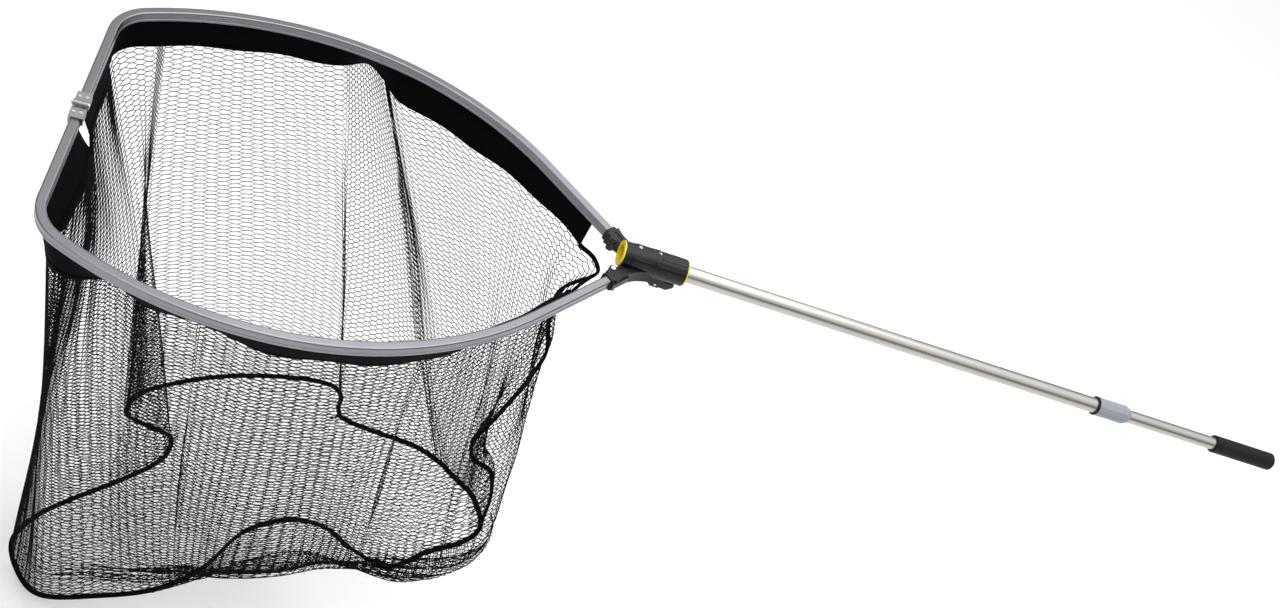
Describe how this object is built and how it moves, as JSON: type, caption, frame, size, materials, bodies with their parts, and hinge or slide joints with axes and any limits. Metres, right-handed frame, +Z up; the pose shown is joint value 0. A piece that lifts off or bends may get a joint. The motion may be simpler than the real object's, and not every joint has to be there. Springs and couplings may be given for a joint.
{
  "type": "landing net",
  "caption": "Folding landing net: telescopic handle sliding through a moulded fold head, two hinged hoop arms, fabric bands and a deep mesh bag.",
  "frame": {"origin": "on the handle's axis at the middle of the rubber grip", "axes": "+X along the handle towards the butt, +Y towards the far arm, +Z up out of the bag's mouth"},
  "size_m": [2.205, 0.6696, 1.1273],
  "materials": {
    "handle_aluminium": "satin anodised, drawn",
    "rail_aluminium": "satin anodised, extruded and grooved",
    "grip_rubber": "matt moulded rubber",
    "black_plastic": "matt moulded nylon",
    "collar_plastic": "satin moulded grey plastic",
    "head_plastic": "satin moulded glass-filled nylon",
    "liner_plastic": "moulded yellow acetal",
    "steel": "turned stainless steel",
    "hinge_zinc": "die-cast zinc, satin",
    "band_fabric": "woven black polyester",
    "netting": "black rubber-coated knitted netting"
  },
  "bodies": {
    "butt_section": {"inner_tube": "handle_aluminium", "rubber_grip": "grip_rubber", "butt_plug": "black_plastic", "inner_bush": "black_plastic"},
    "outer_section": {"outer_tube": "handle_aluminium", "tip_plug": "black_plastic", "collet": "black_plastic"},
    "collar": {"lock_collar": "collar_plastic", "collar_seal": "black_plastic"},
    "head": {"head_core": "head_plastic", "front_liner": "liner_plastic", "rear_liner": "liner_plastic", "housing_screw": "steel", "lever_axle": "steel", "lever_spring": "steel"},
    "lever": {"release_lever": "head_plastic", "lock_pin": "steel"},
    "far_arm": {"far_yoke": "head_plastic", "far_rail": "rail_aluminium", "far_band": "band_fabric", "far_clamp_screw": "steel", "far_saddle": "hinge_zinc", "far_saddle_rivets": "steel", "bag_far": "netting"},
    "near_arm": {"near_yoke": "head_plastic", "near_rail": "rail_aluminium", "near_band": "band_fabric", "near_clamp_screw": "steel", "near_saddle": "hinge_zinc", "near_saddle_rivets": "steel", "hinge_pin": "steel", "ring_screw": "steel", "bag_near": "netting"}
  },
  "joints": [
    {"name": "telescope", "type": "slide", "parent": "butt_section", "child": "outer_section", "axis": [-1, 0, 0], "range_m": [-0.18, 0.55]},
    {"name": "collar_twist", "type": "hinge", "parent": "outer_section", "child": "collar", "pos_m": [-0.305, 0, 0], "axis": [1, 0, 0], "range_deg": [0, 120]},
    {"name": "head_slide", "type": "slide", "parent": "outer_section", "child": "head", "axis": [1, 0, 0], "range_m": [0, 0.72]},
    {"name": "lever_press", "type": "hinge", "parent": "head", "child": "lever", "pos_m": [-1.206, 0, -0.033], "axis": [0, -1, 0], "range_deg": [0, 5.5], "stiffness_Nm_per_rad": 1, "springref_deg": -17.19, "deforming": ["lever_spring"]},
    {"name": "far_fold", "type": "hinge", "parent": "head", "child": "far_arm", "pos_m": [-1.28, 0, -0.00146], "axis": [0.9985, 0, 0.0539], "range_deg": [0, 90]},
    {"name": "near_fold", "type": "hinge", "parent": "head", "child": "near_arm", "pos_m": [-1.28, 0, -0.00146], "axis": [0.9985, 0, 0.0539], "range_deg": [-90, 0]}
  ],
  "couplings": [
    {"joint": "near_fold", "follows": "far_fold", "ratio": -1}
  ]
}
